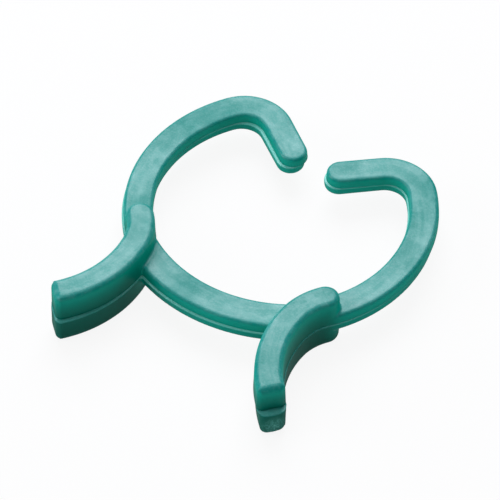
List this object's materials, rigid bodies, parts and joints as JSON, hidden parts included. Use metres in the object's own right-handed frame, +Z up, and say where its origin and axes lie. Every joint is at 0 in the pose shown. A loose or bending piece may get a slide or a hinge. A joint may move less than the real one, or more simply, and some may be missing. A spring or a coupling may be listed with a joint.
{
  "type": "orchid clip",
  "caption": "Springy plastic orchid clip: an open grip ring with inturned jaws that parts when its two finger levers are squeezed.",
  "frame": {"origin": "centre of the clip's outline, at the level of the lower edges of its finger levers", "axes": "+Z up, square to the ring; +Y from the springy bow towards the jaws; +X to the right side, seen from above"},
  "size_m": [0.032, 0.036, 0.006],
  "materials": {
    "green_plastic": "moulded satin gloss"
  },
  "bodies": {
    "bow": {"bow_middle": "green_plastic"},
    "left_side": {"left_bow_end": "green_plastic", "left_finger_lever": "green_plastic", "left_ring_arm": "green_plastic", "left_jaw": "green_plastic"},
    "right_side": {"right_bow_end": "green_plastic", "right_finger_lever": "green_plastic", "right_ring_arm": "green_plastic", "right_jaw": "green_plastic"}
  },
  "joints": [
    {"name": "left_flex", "type": "hinge", "parent": "bow", "child": "left_side", "pos_m": [-0.0036, -0.00802, 0.003], "axis": [0, 0, 1], "range_deg": [0, 15], "stiffness_Nm_per_rad": 0.4},
    {"name": "right_flex", "type": "hinge", "parent": "bow", "child": "right_side", "pos_m": [0.0036, -0.00802, 0.003], "axis": [0, 0, -1], "range_deg": [0, 15], "stiffness_Nm_per_rad": 0.4}
  ],
  "couplings": [
    {"joint": "right_flex", "follows": "left_flex", "ratio": 1}
  ]
}
